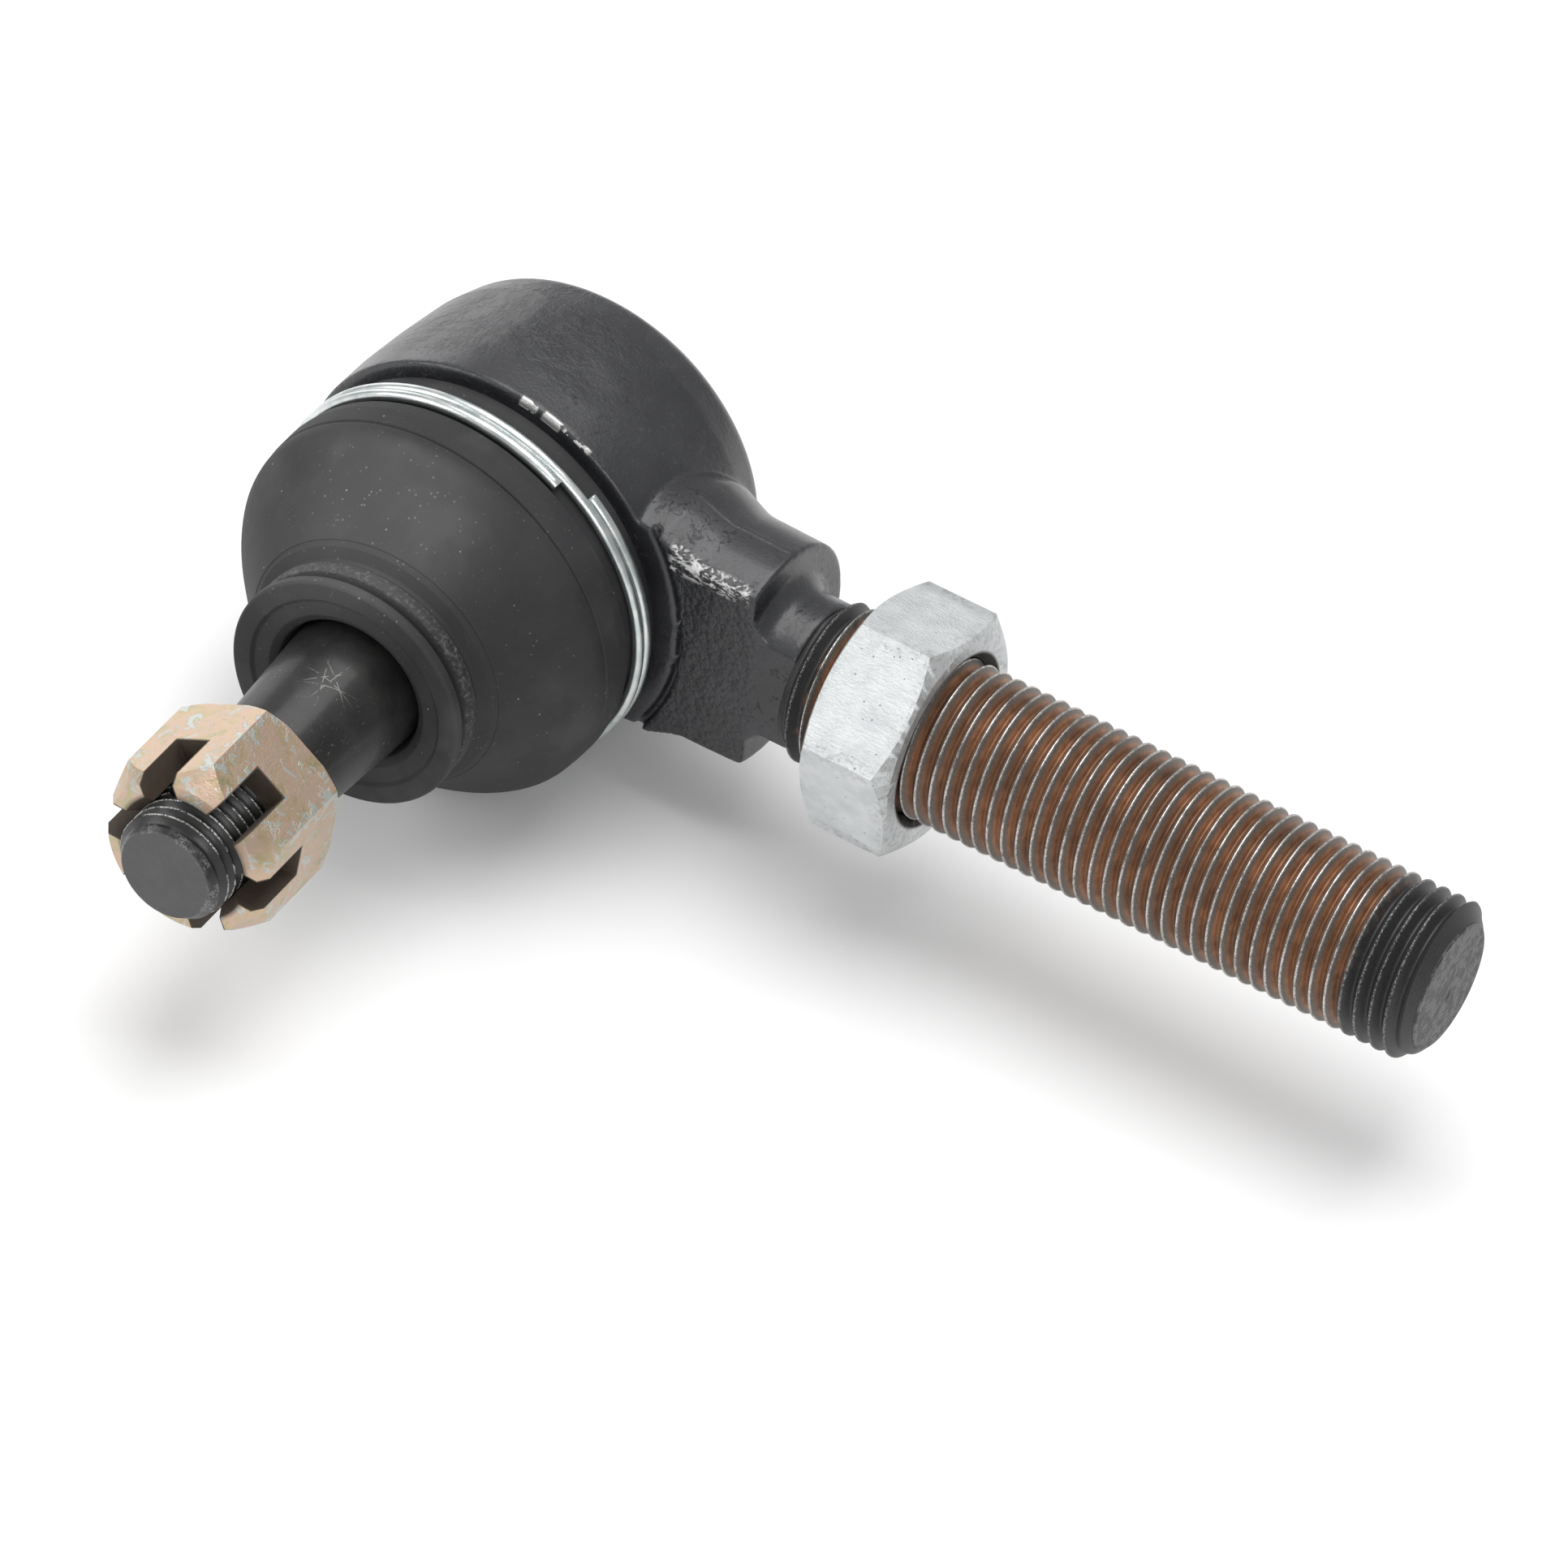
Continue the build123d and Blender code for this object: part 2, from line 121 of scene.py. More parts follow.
def turned(name, outline, steps=160, closed=True, rounding_steps=4):
    """A lathe piece from its outline; closed joins the outline's end to its start."""
    points = softened(outline, rounding_steps)
    if closed:
        points = points + [points[0]]
    piece = drawn(name, points)
    bpy.ops.mesh.select_all(action="SELECT")
    bpy.ops.mesh.remove_doubles(threshold=1e-4)
    bpy.ops.mesh.select_all(action="SELECT")
    bpy.ops.mesh.spin(steps=steps, angle=2 * math.pi, center=(0, 0, 0), axis=(0, 0, 1))
    tidy_shell()
    return piece


def tidy_shell():
    bpy.ops.mesh.select_mode(type="VERT")
    bpy.ops.mesh.select_all(action="SELECT")
    bpy.ops.mesh.remove_doubles(threshold=1e-4)
    bpy.ops.mesh.select_all(action="SELECT")
    bpy.ops.mesh.dissolve_degenerate(threshold=1e-5)
    bpy.ops.mesh.select_all(action="SELECT")
    bpy.ops.mesh.normals_make_consistent(inside=False)
    bpy.ops.object.mode_set(mode="OBJECT")


def modified(piece, kind, **settings):
    take_up(piece)
    m = piece.modifiers.new(kind.title(), kind)
    for key, value in settings.items():
        setattr(m, key, value)
    bpy.ops.object.modifier_apply(modifier=m.name)
    return piece


def carved(piece, tool, operation="DIFFERENCE", solver="EXACT"):
    """Cuts with, keeps within, or joins on another piece, which is used up."""
    modified(piece, "BOOLEAN", object=tool, operation=operation, solver=solver)
    bpy.data.objects.remove(tool, do_unlink=True)
    return piece


def eased(piece, width, angle=30, segments=2):
    modified(piece, "BEVEL", width=width, segments=segments, limit_method="ANGLE", angle_limit=math.radians(angle))
    bpy.ops.object.mode_set(mode="EDIT")
    tidy_shell()
    return piece


def stand_up(piece, place):
    """Turns a finished drawing into metres and into its place, with its object left at the origin."""
    take_up(piece)
    piece.matrix_world = place @ Matrix.Scale(MM, 4)
    bpy.ops.object.transform_apply(location=True, rotation=True, scale=True)
    return piece


def finished(piece, place, material, smooth=35):
    stand_up(piece, place)
    take_up(piece)
    if smooth == 0:
        pass
    elif smooth >= 180:
        bpy.ops.object.shade_smooth()
    else:
        bpy.ops.object.shade_smooth_by_angle(angle=math.radians(smooth))
    piece.data.materials.clear()
    piece.data.materials.append(material)
    return piece


def threaded(name, outer, pitch, blank, steps=96):
    """A screw thread of one pitch wound round, cut square at both ends and held within its turned blank."""
    start, end = blank[0][1], blank[-1][1]
    depth = pitch * 0.60
    root = outer - depth
    one = [
        (root, 0), (root + 0.10 * depth, pitch * 0.09), (outer - 0.10 * depth, pitch * 0.37),
        (outer, pitch * 0.42), (outer, pitch * 0.48), (outer - 0.10 * depth, pitch * 0.53),
        (root + 0.10 * depth, pitch * 0.81), (root, pitch * 0.90), (root, pitch),
    ]
    turns = int((end - start) / pitch) + 5
    piece = drawn(name, one)
    bpy.ops.object.mode_set(mode="OBJECT")
    modified(
        piece, "SCREW", axis="Z", angle=2 * math.pi, screw_offset=pitch, iterations=turns,
        steps=steps, render_steps=steps, use_merge_vertices=False, use_smooth_shade=False,
    )
    take_up(piece)
    bpy.ops.object.mode_set(mode="EDIT")
    bpy.ops.mesh.select_mode(type="VERT")
    bpy.ops.mesh.select_all(action="SELECT")
    bpy.ops.mesh.remove_doubles(threshold=2e-3)
    bpy.ops.mesh.select_all(action="SELECT")
    bpy.ops.transform.translate(value=(0, 0, start - 2 * pitch))
    for plane, upper in ((start, False), (end, True)):
        bpy.ops.mesh.select_all(action="SELECT")
        bpy.ops.mesh.bisect(
            plane_co=(0, 0, plane), plane_no=(0, 0, 1), use_fill=False, clear_inner=not upper, clear_outer=upper,
        )
    for plane in (start, end):
        pick(piece, "EDGE", lambda c, d: abs(c.z - plane) < 1e-3 and abs(d.z) < 1e-3)
        bpy.ops.mesh.edge_face_add()
    tidy_shell()
    for v in piece.data.vertices:
        v.co.z = min(max(v.co.z, start), end)
        for (r0, h0), (r1, h1) in zip(blank, blank[1:]):
            if h0 - 1e-4 <= v.co.z <= h1 + 1e-4:
                limit = r0 + (r1 - r0) * (v.co.z - h0) / max(h1 - h0, 1e-9)
        radius = math.hypot(v.co.x, v.co.y)
        if radius > limit:
            v.co.x *= limit / radius
            v.co.y *= limit / radius
    return piece


# --- shader maths: a socket that can be added, multiplied and compared like a number ---
class Value:
    def __init__(self, tree, socket):
        self.tree = tree
        self.socket = socket

    def _math(self, operation, a, b=None, c=None):
        n = self.tree.nodes.new("ShaderNodeMath")
        n.operation = operation
        for k, v in enumerate((a, b, c)):
            if v is None:
                continue
            if isinstance(v, Value):
                self.tree.links.new(v.socket, n.inputs[k])
            else:
                n.inputs[k].default_value = v
        return Value(self.tree, n.outputs[0])

    def __add__(self, o): return self._math("ADD", self, o)
    def __radd__(self, o): return self._math("ADD", o, self)
    def __sub__(self, o): return self._math("SUBTRACT", self, o)
    def __rsub__(self, o): return self._math("SUBTRACT", o, self)
    def __mul__(self, o): return self._math("MULTIPLY", self, o)
    def __rmul__(self, o): return self._math("MULTIPLY", o, self)
    def __truediv__(self, o): return self._math("DIVIDE", self, o)
    def __pow__(self, o): return self._math("POWER", self, o)
    def __gt__(self, o): return self._math("GREATER_THAN", self, o)
    def __lt__(self, o): return self._math("LESS_THAN", self, o)
    def __abs__(self): return self._math("ABSOLUTE", self)
    def sqrt(self): return self._math("SQRT", self)
    def least(self, o): return self._math("MINIMUM", self, o)
    def most(self, o): return self._math("MAXIMUM", self, o)
    def heading(self, o): return self._math("ARCTAN2", self, o)

    def step(self, low, high):
        """0 below low, 1 above high, smooth between; low may be the larger."""
        n = self.tree.nodes.new("ShaderNodeMapRange")
        n.interpolation_type = "SMOOTHSTEP"
        flip = low > high
        self.tree.links.new(self.socket, n.inputs["Value"])
        n.inputs["From Min"].default_value = high if flip else low
        n.inputs["From Max"].default_value = low if flip else high
        n.inputs["To Min"].default_value = 1 if flip else 0
        n.inputs["To Max"].default_value = 0 if flip else 1
        return Value(self.tree, n.outputs["Result"])


class Finish:
    """A material under way: its node tree, the place on the piece in millimetres, and its main shader."""

    def __init__(self, name, **uniform):
        self.material = bpy.data.materials.new(name)
        self.material.use_nodes = True
        self.tree = self.material.node_tree
        self.tree.nodes.clear()
        self.shader = self.tree.nodes.new("ShaderNodeBsdfPrincipled")
        out = self.tree.nodes.new("ShaderNodeOutputMaterial")
        self.tree.links.new(self.shader.outputs[0], out.inputs["Surface"])
        for key, value in uniform.items():
            self.shader.inputs[key.replace("_", " ")].default_value = value
        place = self.tree.nodes.new("ShaderNodeTexCoord").outputs["Object"]
        self.mm = self.node("VectorMath", {"operation": "SCALE"}, Vector=place, Scale=1000.0).socket
        self.x, self.y, self.z = self.split(self.mm)

    def node(self, kind, settings=None, output=0, **inputs):
        """Any other node, its settings first and then the values or links of its sockets."""
        n = self.tree.nodes.new("ShaderNode" + kind)
        for key, value in (settings or {}).items():
            if key == "stops":
                ramp = n.color_ramp
                while len(ramp.elements) < len(value):
                    ramp.elements.new(0.5)
                for e, (at, colour) in zip(ramp.elements, value):
                    e.position = at
                    e.color = (*colour, 1)
            else:
                setattr(n, key, value)
        for key, value in inputs.items():
            socket = n.inputs[int(key[1:])] if key[0] == "_" else n.inputs[key.replace("_", " ")]
            if isinstance(value, Value):
                value = value.socket
            if isinstance(value, bpy.types.NodeSocket):
                self.tree.links.new(value, socket)
            else:
                socket.default_value = value
        return Value(self.tree, n.outputs[output])

    def split(self, vector):
        n = self.tree.nodes.new("ShaderNodeSeparateXYZ")
        self.tree.links.new(vector, n.inputs[0])
        return [Value(self.tree, s) for s in n.outputs]

    def joined(self, x, y, z):
        return self.node("CombineXYZ", X=x, Y=y, Z=z).socket

    def along(self, direction):
        return self.node("VectorMath", {"operation": "DOT_PRODUCT"}, "Value", _0=self.mm, _1=tuple(direction))

    def noise(self, scale, detail=3.0, roughness=0.55, at=None, distortion=0.0):
        return self.node(
            "TexNoise", None, "Fac", Vector=at or self.mm, Scale=scale, Detail=detail, Roughness=roughness,
            Distortion=distortion,
        )

    def cells(self, scale, at=None, feature="F1", randomness=1.0):
        return self.node(
            "TexVoronoi", {"feature": feature}, "Distance", Vector=at or self.mm, Scale=scale, Randomness=randomness,
        )

    def mixed(self, amount, a, b):
        """Colour a where amount is 0, b where it is 1."""
        n = self.tree.nodes.new("ShaderNodeMix")
        n.data_type = "RGBA"
        pairs = ((0, amount), (6, a), (7, b))
        for k, v in pairs:
            if isinstance(v, Value):
                v = v.socket
            if isinstance(v, bpy.types.NodeSocket):
                self.tree.links.new(v, n.inputs[k])
            elif k == 0:
                n.inputs[k].default_value = v
            else:
                n.inputs[k].default_value = (*v, 1)
        return Value(self.tree, n.outputs[2])

    def ramp(self, value, *stops):
        return self.node("ValToRGB", {"stops": stops}, "Color", Fac=value)

    def raised(self, height, distance, strength=1.0):
        """Relief of the surface: height is 0 to 1, distance in millimetres."""
        bump = self.node("Bump", None, "Normal", Height=height, Distance=distance * MM, Strength=strength)
        self.tree.links.new(bump.socket, self.shader.inputs["Normal"])

    def wear(self, **sockets):
        """Links what varies over the surface to the main shader."""
        for key, value in sockets.items():
            self.tree.links.new(value.socket, self.shader.inputs[key.replace("_", " ")])
        return self.material


def black_forging():
    f = Finish("black_forging", Coat_Weight=0.35, Coat_Roughness=0.16, Specular_IOR_Level=0.5)
    grain = f.noise(2.2, 4)
    pits = f.noise(0.55, 3, 0.6)
    swell = f.noise(0.12, 2)
    fine = f.noise(9.0, 3)
    radius = (f.x * f.x + f.z * f.z).sqrt()
    # rough scale towards the far upper side of the head, smooth paint towards the boss
    scaly = f.x.step(14, -16) * f.y.step(-4, 3)
    lumps = pits.step(0.40, 0.66)
    # pebbled sawn flat beside the boss, and the glossy strip along its edge, which carries painted highlight glints
    on_flat = f.y.step(-5.2, -5.8) * f.x.step(24, 26) * f.x.step(38.5, 37) * radius.step(27.9, 28.4)
    pebble = f.cells(1.15)
    pebble_fine = f.cells(2.7)
    edge_strip = (
        f.x.step(25.0, 25.8) * f.x.step(36.6, 35.8) * f.z.step(11.0, 11.7) * f.y.step(-4.4, -5.0)
    )
    drips = f.noise(1.0, 4, 0.6, at=f.joined(f.x * 0.9, f.y * 0.9, f.z * 2.0), distortion=0.6)
    # painted highlight: glints of light grey laid over the bumps of the glossy strip
    glint = edge_strip * drips.step(0.46, 0.58)
    # forged ridge left by the dies along the top of the boss
    ridge = abs(f.y - 2.6).step(0.7, 0.1) * f.x.step(22, 27) * f.x.step(37.0, 36.0) * f.z.step(8, 10)
    # bright chips on the front rim
    bearing = f.z.heading(f.x)
    rim = radius.step(24.35, 24.5) * f.y.step(-4.7, -5.0) * f.x.step(22, 20)
    long_chips = bearing.step(1.20, 1.215) * bearing.step(1.315, 1.30) + bearing.step(1.335, 1.35) * bearing.step(1.44, 1.43)
    thin_chips = bearing.step(1.02, 1.05) * bearing.step(1.20, 1.18) * radius.step(25.3, 25.45)
    ragged = f.noise(1.1, 3).step(0.36, 0.39)
    bare = rim * (long_chips * ragged * radius.step(24.6, 24.8) + thin_chips * f.noise(0.9, 2).step(0.50, 0.54))
    speck = f.cells(0.75).step(0.10, 0.05) * f.noise(0.9, 1).step(0.56, 0.62)
    paint = f.mixed(swell.step(0.35, 0.7), (0.0125, 0.0130, 0.0155), (0.0225, 0.0232, 0.0268))
    dusty = f.mixed(fine.step(0.5, 0.85) * 0.5, paint, (0.050, 0.050, 0.053))
    dusty = f.mixed(speck * 0.35, dusty, (0.20, 0.20, 0.20))
    colour = f.mixed(bare, dusty, (0.48, 0.48, 0.47))
    # painted highlight: the strip's glints mixed in as light grey
    colour = f.mixed(glint * 0.9, colour, (0.60, 0.60, 0.60))
    rough = 0.36 + fine * 0.12 + scaly * 0.06 - edge_strip * 0.14 + on_flat * 0.05
    height = (
        grain * 0.26 + lumps * scaly * 0.85 + swell * 1.1 + fine * 0.05
        + on_flat * (0.75 - pebble * 0.9 - pebble_fine * 0.35) + edge_strip * drips * 1.4 - bare * 0.35 + ridge * 0.4
    )
    runs = f.noise(0.9, 5, 0.7, distortion=0.8).step(0.56, 0.70) * f.noise(0.16, 2).step(0.42, 0.60)
    f.raised(height + runs * 0.55, 0.32, 0.9)
    return f.wear(Base_Color=colour, Roughness=rough, Metallic=bare * 0.85)


def shank_steel():
    f = Finish("thread_steel")
    radius = (f.y * f.y + f.z * f.z).sqrt()
    drag = f.noise(1.0, 4, 0.6, at=f.joined(f.x * 0.9, f.y * 0.5, f.z * 0.5))
    fine = f.noise(5.0, 4, 0.65)
    streak = f.noise(1.0, 3, 0.6, at=f.joined(f.x * 7.0, f.y * 0.35, f.z * 0.35))
    crest = (radius + fine * 0.16 - 0.08).step(9.82, 9.93)
    tone = f.noise(0.13, 3)
    flank = (radius + streak * 0.3 - 0.15).step(9.05, 9.65)
    rust = f.mixed(drag.step(0.3, 0.7), (0.24, 0.105, 0.050), (0.42, 0.200, 0.100))
    grey = f.mixed(fine.step(0.3, 0.7), (0.105, 0.088, 0.076), (0.19, 0.168, 0.150))
    bright = f.mixed(fine.step(0.35, 0.65), (0.30, 0.285, 0.27), (0.72, 0.70, 0.68))
    rust = f.mixed(tone.step(0.42, 0.60) * 0.45, rust, (0.080, 0.046, 0.032))
    rust_wear_and_painted_light = f.mixed(flank, rust, grey)
    # painted shade: the thread roots are darkened toward near black
    rust_wear_and_painted_light = f.mixed(radius.step(9.20, 8.82) * 0.45, rust_wear_and_painted_light, (0.030, 0.016, 0.011))
    # bare worn crests with a painted highlight: crest lines lightened up to near white
    rust_wear_and_painted_light = f.mixed(crest * (0.35 + drag.step(0.38, 0.50) * 0.65), rust_wear_and_painted_light, bright)
    # painted turns next to the neck and at the end
    edge = drag * 3.0
    ends = (f.x + edge).step(48.6, 47.4).most((f.x - edge).step(116.5, 118.5))
    paint = f.mixed(fine.step(0.3, 0.8), (0.011, 0.011, 0.012), (0.030, 0.030, 0.031))
    # paint scuffed off the crests of the painted turns, with a painted highlight: light grey glints along the crests
    scuffs_and_painted_glints = f.mixed(crest * fine.step(0.45, 0.6) * 0.8, paint, (0.30, 0.30, 0.30))
    face = f.x.step(127.95, 128.08)
    gritty = f.noise(0.8, 5, 0.7)
    punch = ((f.y + 0.3) * (f.y + 0.3) + (f.z + 0.9) * (f.z + 0.9)).sqrt().step(0.75, 0.25)
    scuffs_and_painted_glints = f.mixed(face, scuffs_and_painted_glints, (0.018, 0.018, 0.020))
    scuffs_and_painted_glints = f.mixed(face * gritty.step(0.46, 0.54) * 0.9, scuffs_and_painted_glints, (0.105, 0.105, 0.108))
    # painted shade: the punch dimple on the end face is painted darker
    scuffs_and_painted_glints = f.mixed(face * punch, scuffs_and_painted_glints, (0.012, 0.012, 0.012))
    colour = f.mixed(ends, rust_wear_and_painted_light, scuffs_and_painted_glints)
    rough = 0.36 - crest * 0.12 + fine * 0.16 + ends * 0.02
    metal = (1 - ends) * (0.55 + crest * 0.4) + ends * crest * 0.4
    f.raised(fine * 0.5 + streak * 0.3 + face * (gritty * 6.0 - punch * 4.0), 0.10, 0.8)
    return f.wear(Base_Color=colour, Roughness=rough, Metallic=metal)


def silver_zinc():
    f = Finish("silver_zinc")
    brushed = f.noise(1.0, 5, 0.7, at=f.joined(f.x * 0.8, f.y * 3.2, f.z * 3.2))
    cloud = f.noise(0.30, 4, 0.6)
    fine = f.noise(3.4, 4, 0.6)
    dents = f.cells(1.0).step(0.15, 0.05) * f.noise(0.7, 2).step(0.47, 0.55)
    bruise = f.noise(1.3, 5, 0.75).step(0.50, 0.60)
    edges = (f.y * f.y + f.z * f.z).sqrt().step(14.5, 15.2).most((f.x - 52.0).step(6.6, 8.4)).most(f.x.step(50.2, 49.3))
    colour = f.mixed(cloud.step(0.3, 0.7), (0.58, 0.60, 0.610), (0.69, 0.705, 0.712))
    colour = f.mixed(edges * bruise * 0.55, colour, (0.36, 0.365, 0.36))
    colour = f.mixed(dents, colour, (0.34, 0.36, 0.38))
    radius = (f.y * f.y + f.z * f.z).sqrt()
    # painted shade: the bore and countersink inside 11 mm radius are painted near black
    colour = f.mixed(radius.step(11.5, 11.0), colour, (0.035, 0.032, 0.030))
    rough = 0.36 + brushed * 0.16 + fine * 0.10
    f.raised(brushed * 0.6 + fine * 0.5 + cloud * 0.9 - dents * 0.9, 0.16, 1.0)
    return f.wear(Base_Color=colour, Roughness=rough, Metallic=0.86 + fine * 0.05)


def yellow_zinc():
    f = Finish("yellow_zinc")
    cloud = f.noise(0.28, 5, 0.62, distortion=0.6)
    patch = f.noise(0.42, 5, 0.66, distortion=0.9, at=f.node("VectorMath", {"operation": "ADD"}, _0=f.mm, _1=(31, 7, 13)).socket)
    fine = f.noise(3.0, 4, 0.6)
    gold = f.ramp(
        cloud, (0.32, (0.36, 0.325, 0.195)), (0.44, (0.50, 0.380, 0.255)), (0.54, (0.53, 0.385, 0.310)),
        (0.64, (0.42, 0.385, 0.235)), (0.76, (0.52, 0.400, 0.350)),
    )
    corner = ((f.along(stud_u)) ** 2.0 + (f.along(stud_dir.cross(stud_u))) ** 2.0).sqrt().step(11.3, 11.9)
    blot = (patch + corner * 0.07 + f.along(stud_dir).step(60.0, 57.0) * 0.03).step(0.565, 0.585)
    colour = f.mixed(blot * 0.85, gold, (0.46, 0.50, 0.48))
    speck = f.cells(1.3).step(0.12, 0.04) * fine.step(0.5, 0.6)
    colour = f.mixed(speck * 0.7, colour, (0.10, 0.08, 0.06))
    radius = ((f.along(stud_u)) ** 2.0 + (f.along(stud_dir.cross(stud_u))) ** 2.0).sqrt()
    # painted shade: the bore and the walls and floors of the three slots are painted dark brown, with metal taken off
    # and roughness raised
    inner = radius.step(8.9, 8.0)
    for k in range(3):
        a = math.radians(24.72 + 120 + 60 * k)
        aside = stud_u * math.cos(a) + stud_dir.cross(stud_u) * math.sin(a)
        inner = inner.most(abs(f.along(aside)).step(2.45, 2.36) * f.along(stud_dir).step(63.5, 63.8))
    # painted shade mixed in over the bore and slots
    colour = f.mixed(inner * 0.93, colour, (0.030, 0.020, 0.014))
    rough = 0.26 + cloud * 0.16 + fine * 0.08 + inner * 0.3
    f.raised(cloud * 0.9 + fine * 0.35 + blot * 0.25, 0.09, 0.9)
    return f.wear(Base_Color=colour, Roughness=rough, Metallic=0.84 - inner * 0.84)


def boot_rubber():
    f = Finish("black_rubber", Specular_IOR_Level=0.38)
    cloud = f.noise(0.10, 4, 0.6)
    fine = f.noise(6.0, 3, 0.6)
    bloom = f.noise(0.075, 3, 0.6, at=f.node("VectorMath", {"operation": "ADD"}, _0=f.mm, _1=(5, 40, 2)).socket)
    dust = f.cells(1.1).step(0.17, 0.06) * f.noise(0.22, 3, 0.6).step(0.50, 0.66)
    motes = f.cells(0.55).step(0.085, 0.05) * f.noise(1.3, 2).step(0.5, 0.6)
    lint = f.noise(1.0, 3, 0.7, at=f.joined(f.x * 2.6, f.y * 0.9, f.z * 2.6)).step(0.63, 0.72)
    s = f.along(stud_dir)
    ring = s.step(32.0, 32.8) * s.step(35.0, 34.4)
    radius = ((f.along(stud_u)) ** 2.0 + (f.along(stud_dir.cross(stud_u))) ** 2.0).sqrt()
    rubbed = ring * radius.step(14.2, 14.7)
    base = f.mixed(cloud.step(0.3, 0.7), (0.0170, 0.0172, 0.0185), (0.0262, 0.0264, 0.0280))
    # the rubber is lighter over a soft round patch on top of the dome, with grit there
    patch = ((f.x + 2.0) * (f.x + 2.0) + (f.z - 19.0) * (f.z - 19.0)).sqrt().step(17.0, 3.0) * f.y.step(-18.0, -20.0)
    base = f.mixed((bloom.step(0.48, 0.72) * 0.4 + patch * (0.35 + bloom * 0.9)).least(1.0), base, (0.066, 0.066, 0.067))
    grit = f.cells(1.3).step(0.22, 0.10) * f.noise(0.6, 3).step(0.50, 0.58)
    base = f.mixed(grit * (patch * 0.7 + 0.08).least(1.0), base, (0.19, 0.185, 0.17))
    base = f.mixed(dust * 0.35, base, (0.22, 0.21, 0.19))
    base = f.mixed(motes * 0.55, base, (0.42, 0.41, 0.39))
    scuff = rubbed * f.noise(1.6, 5, 0.75).step(0.45, 0.66)
    base = f.mixed(scuff * 0.40, base, (0.20, 0.19, 0.18))
    base = f.mixed(lint * rubbed * 0.35, base, (0.26, 0.25, 0.23))
    rough = 0.58 + fine * 0.12 + cloud * 0.10
    f.raised(fine * 0.35 + cloud * 0.8 + motes * 0.5 + scuff * 0.4, 0.10, 0.8)
    return f.wear(Base_Color=base, Roughness=rough)


def stud_steel():
    f = Finish("stud_steel", Coat_Weight=0.25, Coat_Roughness=0.18)
    s = f.along(stud_dir)
    across = f.along(stud_u)
    up = f.along(stud_dir.cross(stud_u))
    radius = (across * across + up * up).sqrt()
    fine = f.noise(5.0, 4, 0.65)
    cloud = f.noise(0.35, 4, 0.6)
    turning = f.noise(1.0, 2, 0.5, at=f.joined(s * 9.0, across * 0.12, up * 0.12))
    scratch_a = f.noise(1.0, 2, 0.5, at=f.joined(s * 1.1, across * 7.0, up * 1.5)).step(0.685, 0.72)
    scratch_b = f.noise(1.0, 2, 0.5, at=f.joined(s * 6.5, across * 1.3, up * 5.0)).step(0.69, 0.72)
    on_cone = s.step(38.5, 40) * s.step(55.5, 54)
    scratched = scratch_a.most(scratch_b) * on_cone * f.noise(0.25, 2).step(0.45, 0.62)
    crest = (radius + fine * 0.16 - 0.08).step(6.84, 6.94) * s.step(56, 57)
    face = s.step(75.5, 75.65)
    rim = radius.step(5.45, 5.75) * s.step(74.0, 75.0)
    base = f.mixed(cloud.step(0.3, 0.7), (0.0085, 0.0083, 0.0081), (0.0185, 0.0180, 0.0173))
    # a burst of fine scratches on the upper side of the taper
    turn = math.radians(76)
    over = (up * math.cos(turn) - across * math.sin(turn)) * (across * math.cos(turn) + up * math.sin(turn)).step(-1, 1)
    out = s - 44.5
    reach = (over * over + out * out).sqrt().step(4.2, 1.0) * on_cone * (across * math.cos(turn) + up * math.sin(turn)).step(0, 2)
    for k, lean in enumerate((8, 41, 66, 98, 127, 159)):
        a = math.radians(lean)
        line = abs(out * math.sin(a) - over * math.cos(a) + 0.9 * math.sin(2.1 * k)).step(0.09, 0.03)
        scratched = scratched.most(line * reach * f.noise(1.1, 2).step(0.38, 0.50))
    base = f.mixed(scratched * 0.7, base, (0.30, 0.29, 0.27))
    # bare worn crests with a painted highlight: light grey glints along the stud thread's crests
    base = f.mixed(crest * cloud.step(0.40, 0.52) * fine.step(0.40, 0.55) * 0.9, base, (0.55, 0.55, 0.54))
    base = f.mixed(face * (0.45 + cloud * 0.4), base, (0.075, 0.076, 0.080))
    base = f.mixed(rim * cloud.step(0.45, 0.6) * fine.step(0.45, 0.60) * 0.6, base, (0.28, 0.28, 0.28))
    rough = 0.38 + fine * 0.14 - crest * 0.06 + cloud * 0.06
    metal = 0.30 + crest * 0.5 + scratched * 0.4
    f.raised(fine * 0.35 + turning * 0.35 + cloud * 0.5 + scratched * 0.6 + face * cloud, 0.07, 0.8)
    return f.wear(Base_Color=base, Roughness=rough, Metallic=metal)


def wire_zinc():
    f = Finish("bright_zinc_wire")
    drawn_marks = f.noise(1.0, 3, 0.6, at=f.joined(f.x * 0.6, f.y * 9.0, f.z * 0.6))
    cloud = f.noise(0.5, 3)
    colour = f.mixed(cloud.step(0.3, 0.7), (0.52, 0.57, 0.57), (0.70, 0.72, 0.71))
    f.raised(drawn_marks, 0.03, 0.6)
    return f.wear(Base_Color=colour, Roughness=0.24 + drawn_marks * 0.14, Metallic=0.95 + cloud * 0.0)


def plate_zinc():
    f = Finish("closing_plate_zinc")
    cloud = f.noise(0.25, 4, 0.6)
    fine = f.noise(2.5, 4, 0.6)
    colour = f.mixed(cloud.step(0.3, 0.7), (0.020, 0.020, 0.022), (0.040, 0.040, 0.042))
    f.raised(fine * 0.5 + cloud, 0.10, 0.7)
    return f.wear(Base_Color=colour, Roughness=0.38 + fine * 0.14)


